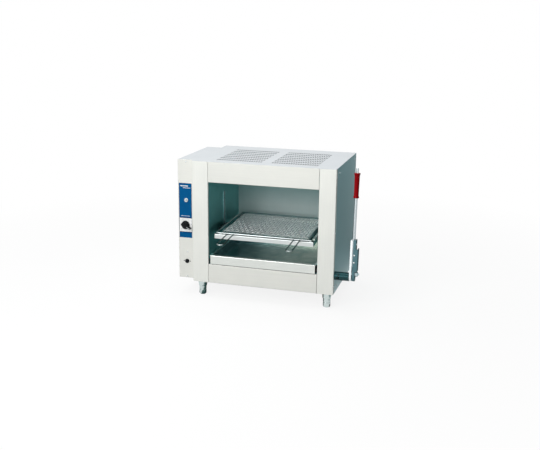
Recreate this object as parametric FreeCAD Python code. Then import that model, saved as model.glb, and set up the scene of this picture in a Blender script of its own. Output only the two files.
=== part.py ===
import FreeCAD, Part
import math
import os

from FreeCAD import Vector

# Electric fish roaster: a countertop cabinet with a heater under the roof, a net on a
# carriage that a side lever lifts, a drip tray below and a control box on the left.
# Millimetres. While building, x runs right from the cabinet's left side, y runs back from its
# front plane and z runs up from its bottom. The last section moves everything to the part's
# own frame: centred in x and y, with z = 0 on the floor.

# ---- driving dimensions ----
body_width = 600.0
body_depth = 424.0
body_height = 514.0
sheet = 1.2                      # cabinet steel
bend = 0.8                       # inside radius of every fold

post_width = 68.0
post_return = 22.0               # post's outer flange, along the side
post_lip = 10.0                  # post's inner flange, into the cavity
side_fold = 6.0                  # folds at a side panel's front and rear edges
header_height = 86.0
seam = 0.8                       # gap between a post and the panel beside it
sill_height = 80.0
base_front = 12.5                # the bottom panel meets the lower panel's fold here
cavity_back = 400.0
cavity_floor = 60.0              # bottom edge of the cavity walls
cavity_top = 500.0
wall_foot = 12.0                 # fold at the lower edge of a cavity wall
rear_wall_fold = 16.0
side_screws_at = [(y, z) for y in (60, 386) for z in (24, 490)]
post_screw_y = 10.0
post_screw_heights = (36, 255, 478)
back_screws_at = [(x, z) for x in (20, 300, 580) for z in (20, 494)]
louvre_width, louvre_height = 160.0, 6.0
louvre_rows, louvre_pitch = 8, 22.0
louvre_bottom = 250.0
louvre_inset = 30.0              # half of the plain strip between the louvre fields
wiring_hole = (300.0, 140.0, 14.0)      # y, z and radius, into the control box

vent_margin = 88.0               # side of the cabinet to the first vent
vent_front = 52.0
vent_rows = 7
vent_columns = 20
vent_pitch_x = 9.75
vent_pitch_y = 43.0
vent_width = 5.0
vent_length = 24.0

control_width = 68.0
control_front = 14.0             # set back from the cabinet's front plane
control_back = 360.0
control_bottom = 8.0
label_left, label_right = -64.4, -8.5
label_bottom, label_top = 183.0, 415.0
dial_bottom, dial_top = 209.0, 267.0
label_thickness = 0.8
knob_x, knob_z = -36.0, 238.0
knob_radius = 18.0
pointer_length = 30.0
pointer_angle = -26.0            # degrees above the horizontal at rest
knob_reach = 15.0                # grip bar, behind the spindle
knob_grip_half, knob_tip_half = 6.0, 3.5
dial_thickness = 0.6
lamp_x, lamp_z = -32.5, 344.0
lamp_radius, lamp_bore = 7.0, 4.5
reset_x, reset_z = -32.0, 81.0
bezel_radius = 9.0
button_radius = 4.9
control_screws_at = [(-32, 505), (-32, 14.5), (-30, 122)]
reset_screws_at = (-45.5, -18.5)
tiny_hole = 1.1
rotary_half, rotary_depth = 21.0, 38.0
gland_x, gland_z = -30.0, 60.0
gland_bore = 5.0
gland_thread = 8.0
terminal_count, terminal_pitch = 6, 19.5

foot_inset = 31.0
foot_height = 63.0
sleeve_height = 25.0
sleeve_top_radius = 20.0
sleeve_low_radius = 17.2
foot_radius = 15.2
foot_nose_radius = 7.0
stud_radius = 6.1
stud_hole = 6.2

tray_bottom = 82.5               # lower edge of the tray's front
tray_rim = 119.0
tray_floor = 93.0
tray_left = 80.0
tray_front_left = 77.0
tray_rim_left = 73.0
tray_back = 390.0
tray_fold = 18.0                 # top fold of the tray's front

shaft_y, shaft_z = 22.0, 77.5
shaft_radius = 8.0
bush_bore = 8.05
bush_radius = 12.0
bush_length = 14.0
small_bush_radius = 10.0
stand_left, stand_right = 43.0, 51.0    # the shaft's left bearing stand
hub_radius = 18.0
arm_half, arm_tip_half = 15.0, 9.0
arm_tip = 16.0                   # arm's end beyond the far end of its slot
slot_spare = 3.0
lift_y = 200.0                   # guide rods, slots and lift pins
lift_low, lift_travel = 20.0, 140.0
arm_offset = 0.25                # degrees: centres the arm's slot on the pin over the stroke
arm_thickness = 8.0
arm_x = 10.0
guide_x = 34.0
guide_radius = 6.0
guide_bore = 6.05
guide_top = 420.0
pad_thickness = 6.0              # feet of the guide rods and the bearing stand
slider_bush_radius = 8.5
carrier_heights = [(8, 38), (168, 198)]
plate_left, plate_right = 44.0, 50.0    # slider plate
bracket_low, bracket_high = 198.0, 210.0        # net carriage's brackets
slot_low, slot_high = 196.0, 352.0      # slots in the cavity walls, for the brackets
pin_radius = 6.0
pin_clearance = 1.8

sleeve_radius = 17.5
sleeve_end = 660.5
lever_back_lean = 4.5            # degrees, at rest
lever_bar_top = 229.0
lever_bar_half = 16.0
lever_inner = 661.0
lever_inner_width = 8.5
tongue = 3.0
lever_outer_width = 10.0
bracket_left, bracket_right = 674.0, 691.5
bracket_top = 195.0
bracket_bottom = 104.0
bracket_sheet = 3.0
clamp_rise = 14.0                # the clamp bolt, above the shaft
clamp_radius = 4.0
clamp_end = 698.0
spacer_radius = 8.0
washer_radius, washer_height = 11.5, 1.6
nut_radius, nut_height = 11.0, 8.4
rivet_heights = (212, 150)
rivet_radius = 3.0
bracket_screw_heights = (141, 170)
bracket_screw_hole = 2.1
stop_x = 619.0
stop_angle = 27.5                # stop pin above the horizontal at rest
stop_radius = 2.0
stop_slot_half = 2.6
stop_slot_leg = 9.0
stop_slot_low, stop_slot_high = -26.0, 38.0     # degrees from the horizontal
stop_leg_high = -6.0
rod_radius = 6.1
stub_radius = 5.0
grip_low, grip_high = 319.5, 418.5      # distances from the shaft along the rod
rod_end = 437.5

carriage_lean = 2.0              # degrees: the carriage falls to the front
rail_left, rail_right = 90.0, 510.0
rail_front, rail_rear = 17.0, 348.0
rail_bottom, rail_top = 189.5, 208.5
rail_sheet = 2.0
rail_flange = 26.0

net_left, net_right = 105.0, 501.0
net_front, net_back = 10.0, 346.0
net_bottom, net_top = 215.0, 219.0
net_bar = 16.0
mesh_left, mesh_right = 127.0, 475.0
long_wires = 33
long_wire_radius = 1.8
cross_wires = 12
cross_wire_radius = 1.4
handle_centre = 141.5            # from the middle of the cabinet
handle_radius = 13.0
handle_wire = 2.5
handle_reach = 129.0
handle_fall = 2.2                # degrees, below the net's own plane

element_radius = 5.0
element_bend = 20.0
element_z = 455.0
element_left, element_right = 34.0, 480.0
element_count, element_first, element_pitch = 8, 70.0, 40.0
terminal_left = 22.0
stirrups_at = (170, 290, 410)
stirrup_front, stirrup_back = 44.0, 376.0
stirrup_width, stirrup_sheet = 18.0, 3.0
reflector_z = 480.0
reflector_left = 90.0
reflector_front, reflector_back = 35.0, 385.0

middle = body_width / 2
nodes = {}


# ---- helpers ----
def block(x0, x1, y0, y1, z0, z1):
    return Part.makeBox(x1 - x0, y1 - y0, z1 - z0, Vector(x0, y0, z0))


def bar(start, end, radius):
    start, end = Vector(*start), Vector(*end)
    return Part.makeCylinder(radius, (end - start).Length, start, end - start)


def tube(start, end, radius, bore):
    return bar(start, end, radius).cut(bar(start, end, bore))


def point(axis, along, a, b):
    """A point from its place along an axis and its two other coordinates, in x, y, z order."""
    return {"x": Vector(along, a, b), "y": Vector(a, along, b), "z": Vector(a, b, along)}[axis]


def prism(outline, axis, low, high):
    corners = [point(axis, low, a, b) for a, b in outline]
    face = Part.Face(Part.makePolygon(corners + corners[:1]))
    return face.extrude(point(axis, high - low, 0, 0))


def hexagon(a, b, radius, first):
    """The six corners of a nut, the first at an angle in degrees."""
    angles = [math.radians(first + 60 * i) for i in range(6)]
    return [(a + radius * math.cos(angle), b + radius * math.sin(angle)) for angle in angles]


def edges_at(shape, axis, places):
    """Edges that run along the axis through the given places."""
    found = []
    for edge in shape.Edges:
        ends = [vertex.Point for vertex in edge.Vertexes]
        if len(ends) != 2:
            continue
        for a, b in places:
            if all((end - point(axis, getattr(end, axis), a, b)).Length < 0.01 for end in ends):
                found.append(edge)
                break
    return found


def folded(path, axis, low, high, thickness=sheet, radius=bend):
    """A sheet folded along a path of outer points, with its thickness on the path's left."""
    inner = []
    for i, (a, b) in enumerate(path):
        steps = []
        if i > 0:
            steps.append((a - path[i - 1][0], b - path[i - 1][1]))
        if i < len(path) - 1:
            steps.append((path[i + 1][0] - a, path[i + 1][1] - b))
        normals = [(-q / math.hypot(p, q), p / math.hypot(p, q)) for p, q in steps]
        if len(normals) == 1:
            shift = normals[0]
        else:
            (n, m), (s, t) = normals
            scale = 1 / (1 + n * s + m * t)
            shift = ((n + s) * scale, (m + t) * scale)
        inner.append((a + shift[0] * thickness, b + shift[1] * thickness))
    shape = prism(path + inner[::-1], axis, low, high)
    tight, wide = [], []
    for i in range(1, len(path) - 1):
        (a, b), (c, d), (e, f) = path[i - 1], path[i], path[i + 1]
        left_turn = (c - a) * (f - d) - (d - b) * (e - c) > 0
        tight.append(inner[i] if left_turn else path[i])
        wide.append(path[i] if left_turn else inner[i])
    shape = shape.makeFillet(radius, edges_at(shape, axis, tight))
    return shape.makeFillet(radius + thickness, edges_at(shape, axis, wide))


def union(shapes):
    return shapes[0].fuse(shapes[1:]).removeSplitter()


def mirrored(shape, x=middle):
    return shape.mirror(Vector(x, 0, 0), Vector(1, 0, 0))


def both_sides(shape):
    return [shape, mirrored(shape)]


def slot_wire(x, y, z, width, length):
    """A round-ended slot outline in a level plane, its length along y."""
    half, reach = width / 2, (length - width) / 2
    corners = [Vector(x - half, y - reach, z), Vector(x - half, y + reach, z),
               Vector(x + half, y + reach, z), Vector(x + half, y - reach, z)]
    back = Part.Arc(corners[1], Vector(x, y + reach + half, z), corners[2]).toShape()
    front = Part.Arc(corners[3], Vector(x, y - reach - half, z), corners[0]).toShape()
    sides = [Part.makeLine(corners[0], corners[1]), Part.makeLine(corners[2], corners[3])]
    return Part.Wire([sides[0], back, sides[1], front])


def screw(x, y, z, outward, head=4.0, shank=2.0, length=8.0):
    """A domed screw whose head sits on the surface at the point."""
    way = Vector(*outward)
    dome = Part.makeSphere(head * 1.25, Vector(x, y, z) - way * head * 0.75)
    cap = bar((x, y, z), Vector(x, y, z) + way * head, head)
    return union([dome.common(cap), bar((x, y, z), Vector(x, y, z) - way * length, shank)])


def screw_hole(x, y, z, outward, radius=2.15, depth=9.0):
    way = Vector(*outward)
    return bar(Vector(x, y, z) + way, Vector(x, y, z) - way * depth, radius)


def lean(shape):
    """Tips a carriage piece down to the front about the front rail's top edge."""
    turned = shape.copy()
    turned.rotate(Vector(0, rail_front, rail_top), Vector(1, 0, 0), carriage_lean)
    return turned


def lever_lean(shape):
    turned = shape.copy()
    turned.rotate(Vector(0, shaft_y, shaft_z), Vector(1, 0, 0), -lever_back_lean)
    return turned


# ---- cabinet ----
def build_cabinet():
    roof = body_height - sheet
    opening = [post_width + seam, body_width - post_width - seam]

    post = folded([(0, post_return), (0, 0), (post_width, 0), (post_width, post_lip)],
                  "z", 0, roof)
    side = folded([(side_fold, body_depth - sheet), (0, body_depth - sheet),
                   (0, post_return + 1), (side_fold, post_return + 1)], "z", 0, roof)
    post_screws = [(0, post_screw_y, z, (-1, 0, 0)) for z in post_screw_heights]
    side_screws = [(0, y, z, (-1, 0, 0)) for y, z in side_screws_at]
    post = post.cut([screw_hole(*place) for place in post_screws])
    side = side.cut([screw_hole(*place) for place in side_screws])
    hole_y, hole_z, hole_radius = wiring_hole
    control_hole = bar((-2, hole_y, hole_z), (4, hole_y, hole_z), hole_radius)
    nodes["left_post"], nodes["right_post"] = both_sides(post)
    nodes["left_side_panel"] = side.cut(control_hole)
    shaft_hole = bar((body_width - 8, shaft_y, shaft_z), (body_width + 4, shaft_y, shaft_z),
                     bush_radius + 0.2)
    nodes["right_side_panel"] = mirrored(side).cut(shaft_hole)
    nodes["right_post"] = nodes["right_post"].cut(shaft_hole)

    lip = body_height - header_height
    nodes["header_panel"] = folded([(0, roof), (0, lip), (20, lip), (20, lip + 12)], "x",
                                   *opening)
    nodes["lower_panel"] = folded([(12, sill_height), (0, sill_height), (0, 0),
                                   (base_front, 0)], "x", *opening)

    vents = []
    field = (vent_columns - 1) * vent_pitch_x
    starts = [vent_margin + vent_width / 2, body_width - vent_margin - vent_width / 2 - field]
    for start in starts:
        for column in range(vent_columns):
            for row in range(vent_rows):
                vents.append(slot_wire(start + column * vent_pitch_x,
                                       vent_front + vent_length / 2 + row * vent_pitch_y,
                                       roof, vent_width, vent_length))
    edge = Part.makePolygon([Vector(0, 0, roof), Vector(body_width, 0, roof),
                             Vector(body_width, body_depth, roof), Vector(0, body_depth, roof),
                             Vector(0, 0, roof)])
    plate = Part.makeFace(Part.Compound([edge] + vents), "Part::FaceMakerBullseye")
    plate = plate.extrude(Vector(0, 0, sheet))
    flange = block(sheet + 0.1, 2 * sheet, 40, 400, roof - 15, roof)
    nodes["top_panel"] = union([plate] + both_sides(flange))

    base = block(sheet, body_width - sheet, base_front, body_depth - sheet, 0, sheet)
    foot_holes = [bar((x, y, -1), (x, y, 5), stud_hole) for x, y in foot_places()]
    notches = both_sides(block(0, side_fold + 0.2, 10, post_return + 1 + sheet + bend, -1, 5))
    notches += both_sides(block(0, side_fold + 0.2, body_depth - 2 * sheet - bend, body_depth,
                                -1, 5))
    nodes["bottom_panel"] = base.cut(foot_holes + notches)

    louvres = []
    for start in (middle - louvre_inset - louvre_width, middle + louvre_inset):
        for row in range(louvre_rows):
            z = louvre_bottom + row * louvre_pitch
            louvres.append(block(start, start + louvre_width, body_depth - 5, body_depth + 5, z,
                                 z + louvre_height))
    back_screws = [(x, body_depth, z, (0, 1, 0)) for x, z in back_screws_at]
    back = block(0, body_width, body_depth - sheet, body_depth, 0, roof)
    nodes["back_panel"] = back.cut(louvres + [screw_hole(*place) for place in back_screws])

    fasteners = [mirrored(screw(*place)) for place in post_screws + side_screws]
    rear_pair = side_screws[2:]
    return fasteners + [screw(*place) for place in rear_pair + back_screws]


def foot_places():
    return [(x, y) for y in (foot_inset, body_depth - foot_inset)
            for x in (foot_inset, body_width - foot_inset)]


def build_feet():
    sleeves = []
    names = ["front_left", "front_right", "rear_left", "rear_right"]
    for name, (x, y) in zip(names, foot_places()):
        sleeve = Part.makeCone(sleeve_low_radius, sleeve_top_radius, sleeve_height,
                               Vector(x, y, -sleeve_height))
        bore = bar((x, y, -sleeve_height - 1), (x, y, -4), foot_radius + 0.05)
        stud = bar((x, y, -1), (x, y, 14), stud_radius)
        sleeves.append(union([sleeve.cut(bore), stud]))
        insert = bar((x, y, -foot_height), (x, y, -6), foot_radius)
        nose = [edge for edge in insert.Edges if edge.BoundBox.ZMax < -foot_height + 0.1]
        nodes["foot_" + name] = insert.makeFillet(foot_nose_radius, nose[:1])
    nodes["foot_sleeves"] = Part.Compound(sleeves)


# ---- cavity, heater and the tray's runners ----
def build_cavity():
    inner = post_width
    elements_at = [element_first + element_pitch * i for i in range(element_count)]
    wall = folded([(inner - wall_foot, cavity_floor), (inner, cavity_floor),
                   (inner, cavity_top)], "y", post_lip + 0.2, cavity_back)
    slot = block(inner - 5, inner + 5, lift_y - 6, lift_y + 6, slot_low, slot_high)
    shaft_hole = bar((inner - 5, shaft_y, shaft_z), (inner + 5, shaft_y, shaft_z),
                     shaft_radius + 1.2)
    wall = wall.cut([slot, shaft_hole])
    terminals = [bar((inner - 5, y, element_z), (inner + 5, y, element_z), element_radius + 0.8)
                 for y in elements_at]
    nodes["cavity_left_wall"] = wall.cut(terminals)
    nodes["cavity_right_wall"] = mirrored(wall)
    left, right = inner - 14, body_width - inner + 14
    fold_end = cavity_back + rear_wall_fold
    nodes["cavity_rear_wall"] = folded([(left, fold_end), (left, cavity_back),
                                        (right, cavity_back), (right, fold_end)], "z", sheet,
                                       cavity_top)

    hairpins = []
    for first in elements_at[::2]:
        second = first + 2 * element_bend
        centre = Vector(element_right, first + element_bend, element_z)
        turn = Part.makeTorus(element_bend, element_radius, centre, Vector(0, 0, 1), 0, 360, 180)
        turn.rotate(centre, Vector(0, 0, 1), -90)
        legs = [bar((element_left, y, element_z), (element_right, y, element_z), element_radius)
                for y in (first, second)]
        pins = [bar((terminal_left, y, element_z), (element_left, y, element_z), 2)
                for y in (first, second)]
        hairpins.append(union([turn] + legs + pins))
    nodes["heater_elements"] = Part.Compound(hairpins)

    under = element_z - element_radius - 0.3 - stirrup_sheet
    stirrup = [(stirrup_front, reflector_z), (stirrup_front, under), (stirrup_back, under),
               (stirrup_back, reflector_z)]
    stirrups = [folded(stirrup, "x", x, x + stirrup_width, stirrup_sheet, 2)
                for x in stirrups_at]
    nodes["heater_supports"] = Part.Compound(stirrups)
    reflector_right = body_width - reflector_left
    plate = block(reflector_left, reflector_right, reflector_front, reflector_back, reflector_z,
                  reflector_z + sheet)
    ears = [block(x0, x1, y, y + 24, reflector_z, reflector_z + sheet)
            for x0, x1 in ((inner, reflector_left), (reflector_right, body_width - inner))
            for y in (60, 340)]
    nodes["heat_reflector"] = union([plate] + ears)

    ledge = tray_rim - sheet - 0.1
    runner = folded([(tray_left - 0.6, ledge), (inner, ledge), (inner, ledge - 17)], "y", 14,
                    398)
    nodes["tray_runners"] = Part.Compound(both_sides(runner))


# ---- control box ----
def build_control_box():
    left = -control_width
    roof = body_height
    rear = control_back - sheet
    panel_back = control_front + sheet
    wrapper = folded([(0, roof), (left, roof), (left, control_bottom), (0, control_bottom)],
                     "y", panel_back, rear)
    rear_panel = block(left, 0, rear, control_back, control_bottom, roof)
    gland_hole = bar((gland_x, rear - 1, gland_z), (gland_x, control_back + 1, gland_z),
                     gland_thread + 0.1)
    nodes["control_wrapper"] = wrapper
    nodes["control_rear_panel"] = rear_panel.cut(gland_hole)

    def through(x, z, radius):
        return bar((x, control_front - 5, z), (x, panel_back + 5, z), radius)

    front_screws = [(x, control_front, z, (0, -1, 0)) for x, z in control_screws_at]
    tiny_screws = [(x, control_front, reset_z, (0, -1, 0)) for x in reset_screws_at]
    holes = [through(knob_x, knob_z, 5), through(lamp_x, lamp_z, 6), through(reset_x, reset_z, 6)]
    holes += [screw_hole(*place) for place in front_screws]
    holes += [screw_hole(*place, radius=tiny_hole) for place in tiny_screws]
    cover = block(left, 0, control_front, panel_back, control_bottom, roof)
    nodes["control_front_panel"] = cover.cut(holes)

    label_face = control_front - label_thickness
    label = block(label_left, label_right, label_face, control_front, label_bottom, label_top)
    nodes["control_label"] = label.cut(holes[:2])
    dial_face = label_face - dial_thickness
    dial = block(label_left, label_right, dial_face, label_face, dial_bottom, dial_top)
    nodes["dial_plate"] = dial.cut(holes[0])

    bezel = tube((lamp_x, label_face - 3, lamp_z), (lamp_x, label_face, lamp_z), bezel_radius,
                 lamp_radius)
    seat = tube((lamp_x, label_face - 1, lamp_z), (lamp_x, label_face, lamp_z), lamp_radius,
                lamp_bore)
    collar = tube((lamp_x, label_face, lamp_z), (lamp_x, panel_back + 14, lamp_z), 5.9,
                  lamp_bore)
    nodes["pilot_lamp_bezel"] = union([bezel, seat, collar])
    ball = Part.makeSphere(8.0, Vector(lamp_x, label_face - 2, lamp_z))
    window = bar((lamp_x, label_face - 6, lamp_z), (lamp_x, label_face - 1, lamp_z),
                 lamp_radius - 0.05)
    nodes["pilot_lamp_lens"] = ball.common(window)

    ring = tube((reset_x, control_front - 4, reset_z), (reset_x, control_front, reset_z),
                bezel_radius, button_radius + 0.1)
    ring = ring.makeFillet(1.2, [edge for edge in ring.Edges
                                 if edge.BoundBox.YMax < control_front - 3.9][:1])
    nodes["reset_bezel"] = ring
    button = bar((reset_x, control_front - 6.5, reset_z),
                 (reset_x, panel_back + 6, reset_z), button_radius)
    nodes["reset_button"] = button.makeFillet(1.2, [edge for edge in button.Edges
                                                    if edge.BoundBox.YMax < control_front - 6])
    reset_body = block(reset_x - 15, reset_x + 15, panel_back, panel_back + 34,
                       reset_z - 18, reset_z + 18)
    nodes["reset_switch"] = reset_body.cut(
        [bar((reset_x, panel_back - 1, reset_z), (reset_x, panel_back + 12, reset_z),
             button_radius + 0.1)]
        + [screw_hole(*place, radius=tiny_hole) for place in tiny_screws])

    half = rotary_half
    switch = block(knob_x - half, knob_x + half, panel_back, panel_back + rotary_depth,
                   knob_z - half, knob_z + half)
    switch = switch.makeChamfer(5, edges_at(switch, "y", [
        (knob_x + a, knob_z + b) for a in (-half, half) for b in (-half, half)]))
    switch = switch.cut(bar((knob_x, panel_back - 1, knob_z),
                            (knob_x, panel_back + 10, knob_z), 3.05))
    nodes["rotary_switch"] = switch

    terminals = [block(-30, -sheet - 1, 120, 240, 300, 330)]
    for i in range(terminal_count):
        y = 124 + i * terminal_pitch
        terminals.append(block(-38, -30, y, y + 14, 304, 326))
    nodes["terminal_block"] = union(terminals)
    nut = bar((gland_x, rear - 6, gland_z), (gland_x, rear, gland_z), 11)
    body = bar((gland_x, rear, gland_z), (gland_x, control_back, gland_z), gland_thread)
    flats = prism(hexagon(gland_x, gland_z, 12, 0), "y", control_back, control_back + 8)
    dome = Part.makeCone(10.2, 7.5, 14, Vector(gland_x, control_back + 8, gland_z),
                         Vector(0, 1, 0))
    bore = bar((gland_x, rear - 8, gland_z), (gland_x, control_back + 30, gland_z), gland_bore)
    nodes["cable_gland"] = union([nut, body, flats, dome]).cut(bore)

    fasteners = [screw(*place) for place in front_screws]
    return fasteners + [screw(*place, head=2.2, shank=1.0, length=6) for place in tiny_screws]


def build_knob():
    """The knob turns about y; its grip bar points along +x here and is turned to rest after."""
    back = control_front - label_thickness - dial_thickness - 0.5
    centre = Vector(knob_x, 0, knob_z)
    skirt = Part.makeCone(knob_radius, knob_radius - 1.5, 7, Vector(knob_x, back, knob_z),
                          Vector(0, -1, 0))
    crown = bar((knob_x, back - 7, knob_z), (knob_x, back - 12, knob_z), 12)
    half = [(-knob_reach, knob_grip_half), (knob_reach, knob_grip_half),
            (pointer_length, knob_tip_half)]
    outline = [(knob_x + a, knob_z - b) for a, b in half]
    outline += [(knob_x + a, knob_z + b) for a, b in half[::-1]]
    grip = prism(outline, "y", back - 20, back - 5)
    ends = [outline[0], outline[2], outline[3], outline[5]]
    grip = grip.makeFillet(2.5, edges_at(grip, "y", ends))
    spindle = bar((knob_x, back, knob_z), (knob_x, control_front + 9, knob_z), 3)
    knob = union([skirt, crown, grip, spindle])
    knob.rotate(centre, Vector(0, 1, 0), -pointer_angle)
    nodes["knob"] = knob


# ---- lift: shaft, arms, lever ----
def arm_angle(height):
    return math.degrees(math.atan2(height - shaft_z, lift_y - shaft_y))


def build_lift():
    nodes["lift_shaft"] = bar((arm_x - 3, shaft_y, shaft_z),
                              (lever_inner + lever_inner_width, shaft_y, shaft_z), shaft_radius)

    rest = arm_angle(lift_low) + arm_offset
    steepest = max(abs(rest), arm_angle(lift_low + lift_travel))
    far = (lift_y - shaft_y) / math.cos(math.radians(steepest))
    reach = pin_radius + pin_clearance
    near_end, far_end = lift_y - slot_spare, shaft_y + far + slot_spare
    arm_right = arm_x + arm_thickness
    hub = bar((arm_x - 3, shaft_y, shaft_z), (arm_right + 3, shaft_y, shaft_z), hub_radius)
    half = [(shaft_y, arm_half), (shaft_y + far - 10, arm_half),
            (shaft_y + far + arm_tip, arm_tip_half)]
    web = prism([(y, shaft_z - z) for y, z in half] + [(y, shaft_z + z) for y, z in half[::-1]],
                "x", arm_x, arm_right)
    cuts = [block(arm_x - 1, arm_right + 1, near_end, far_end, shaft_z - reach, shaft_z + reach)]
    cuts += [bar((arm_x - 1, y, shaft_z), (arm_right + 1, y, shaft_z), reach)
             for y in (near_end, far_end)]
    cuts.append(bar((arm_x - 9, shaft_y, shaft_z), (arm_right + 4, shaft_y, shaft_z),
                    shaft_radius))
    arm = union([hub, web]).cut(cuts)
    arm.rotate(Vector(0, shaft_y, shaft_z), Vector(1, 0, 0), rest)
    nodes["lift_arms"] = Part.Compound(both_sides(arm))

    sleeve = tube((body_width, shaft_y, shaft_z), (sleeve_end, shaft_y, shaft_z), sleeve_radius,
                  bush_radius)
    nodes["lever_sleeve"] = sleeve.cut(stop_slot())
    bushes = [tube((x, shaft_y, shaft_z), (x + bush_length, shaft_y, shaft_z), bush_radius,
                   bush_bore) for x in (body_width, sleeve_end - bush_length)]
    bushes.append(tube((40, shaft_y, shaft_z), (40 + bush_length, shaft_y, shaft_z),
                       small_bush_radius, bush_bore))
    nodes["shaft_bushes"] = Part.Compound(bushes)
    foot = block(stand_left - 5, stand_right + 7, 13, 46, sheet, pad_thickness)
    stand = block(stand_left, stand_right, 13, 34, pad_thickness, shaft_z + 14)
    bore = bar((40, shaft_y, shaft_z), (66, shaft_y, shaft_z), small_bush_radius)
    nodes["bearing_stand"] = union([foot, stand]).cut(bore)


def stop_slot():
    """The sleeve's curved slot, which the stop pin travels in, with a short leg along it."""
    def sector(x0, x1, low, high):
        edge = 24
        steps = [low + (high - low) * i / 6 for i in range(7)]
        outline = [(shaft_y, shaft_z)]
        for angle in steps:
            outline.append((shaft_y - edge * math.cos(math.radians(angle)),
                            shaft_z + edge * math.sin(math.radians(angle))))
        return prism(outline, "x", x0, x1)
    right = stop_x + stop_slot_half
    return union([sector(stop_x - stop_slot_half, right, stop_slot_low, stop_slot_high),
                  sector(stop_x - stop_slot_leg, right, stop_slot_low, stop_leg_high)])


def build_lever():
    low, top = shaft_z, lever_bar_top

    def plate(x0, x1, height):
        round_end = bar((x0, shaft_y, low), (x1, shaft_y, low), lever_bar_half)
        upright = block(x0, x1, shaft_y - lever_bar_half, shaft_y + lever_bar_half, low, height)
        return union([round_end, upright])

    inner_right = lever_inner + lever_inner_width
    outer_left = inner_right + tongue
    outer_right = outer_left + lever_outer_width
    screw_x = outer_right - 4
    rivet_holes = [bar((lever_inner - 1, shaft_y, z), (outer_right + 1, shaft_y, z),
                       rivet_radius + 0.1) for z in rivet_heights]
    screw_holes = [bar((screw_x, shaft_y - 30, z), (screw_x, shaft_y - 2, z),
                       bracket_screw_hole) for z in bracket_screw_heights]
    shaft_bore = bar((lever_inner - 1, shaft_y, low), (inner_right + 1, shaft_y, low),
                     shaft_radius)
    clamp_z = shaft_z + clamp_rise
    clamp_bore = bar((lever_inner - 1, shaft_y, clamp_z), (outer_right + 1, shaft_y, clamp_z),
                     clamp_radius)
    inner_holes = rivet_holes + [shaft_bore, clamp_bore]
    outer_holes = rivet_holes + screw_holes + [clamp_bore]
    nodes["lever_inner_bar"] = lever_lean(plate(lever_inner, inner_right, top).cut(inner_holes))
    nodes["lever_outer_bar"] = lever_lean(
        plate(outer_left, outer_right, top + 2).cut(outer_holes))

    rod_x = (inner_right + outer_left) / 2
    rod_y = shaft_y
    stem = bar((rod_x, rod_y, top + 2.5), (rod_x, rod_y, shaft_z + grip_high), rod_radius)
    stub = bar((rod_x, rod_y, shaft_z + grip_high), (rod_x, rod_y, shaft_z + rod_end),
               stub_radius)
    stub = stub.makeFillet(1.5, [edge for edge in stub.Edges
                                 if edge.BoundBox.ZMin > shaft_z + rod_end - 0.1])
    flat = block(inner_right, outer_left, rod_y - 9, rod_y + 9, 120, top + 2.5)
    nodes["lever_rod"] = lever_lean(union([stem, stub, flat]).cut(rivet_holes))

    def grip_profile():
        base, end = shaft_z + grip_low, shaft_z + grip_high
        outline = [(rod_radius, base), (11.2, base), (11.2, base + 5), (9.4, base + 9),
                   (10.4, end - 9), (12.4, end - 5), (12.4, end), (rod_radius, end)]
        corners = [Vector(rod_x + r, rod_y, z) for r, z in outline]
        face = Part.Face(Part.makePolygon(corners + corners[:1]))
        return face.revolve(Vector(rod_x, rod_y, 0), Vector(0, 0, 1), 360)
    nodes["lever_grip"] = lever_lean(grip_profile())

    front = shaft_y - lever_bar_half - bracket_sheet
    web = block(bracket_left, bracket_right, front, front + bracket_sheet, bracket_bottom,
                bracket_top)
    cheek = block(bracket_right - bracket_sheet, bracket_right, front + bracket_sheet,
                  shaft_y + lever_bar_half, bracket_bottom, bracket_top)
    web_holes = [bar((screw_x, front - 1, z), (screw_x, front + 4, z), bracket_screw_hole)
                 for z in bracket_screw_heights]
    nodes["lever_bracket"] = lever_lean(union([web, cheek]).cut(web_holes))

    heads = [screw(screw_x, front, z, (0, -1, 0), head=3.6, length=16)
             for z in bracket_screw_heights]
    rivets = []
    for z in rivet_heights:
        body = bar((lever_inner - 0.5, shaft_y, z), (outer_right + 0.5, shaft_y, z), rivet_radius)
        dome = Part.makeCone(5, 3.5, 2, Vector(outer_right, shaft_y, z), Vector(1, 0, 0))
        tail = Part.makeCone(4.4, 3.5, 0.45, Vector(lever_inner, shaft_y, z), Vector(-1, 0, 0))
        rivets.append(union([body, dome, tail]))
    nodes["lever_fasteners"] = lever_lean(Part.Compound(heads + rivets))

    bolt = bar((lever_inner, shaft_y, clamp_z), (clamp_end, shaft_y, clamp_z), clamp_radius)
    spacer = bar((inner_right, shaft_y, clamp_z), (outer_left, shaft_y, clamp_z), spacer_radius)
    nut_left = outer_right + washer_height
    washer = bar((outer_right, shaft_y, clamp_z), (nut_left, shaft_y, clamp_z), washer_radius)
    nut = prism(hexagon(shaft_y, clamp_z, nut_radius, 30), "x", nut_left, nut_left + nut_height)
    nodes["lever_nut"] = lever_lean(union([bolt, spacer, washer, nut]))

    way = Vector(0, -math.cos(math.radians(stop_angle)), math.sin(math.radians(stop_angle)))
    centre = Vector(stop_x, shaft_y, shaft_z)
    shaft_face = bar((600, shaft_y, shaft_z), (640, shaft_y, shaft_z), shaft_radius)
    pin = Part.makeCylinder(stop_radius, 10.3, centre + way * 6.0, way)
    nodes["stop_pin"] = pin.cut(shaft_face)


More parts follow.
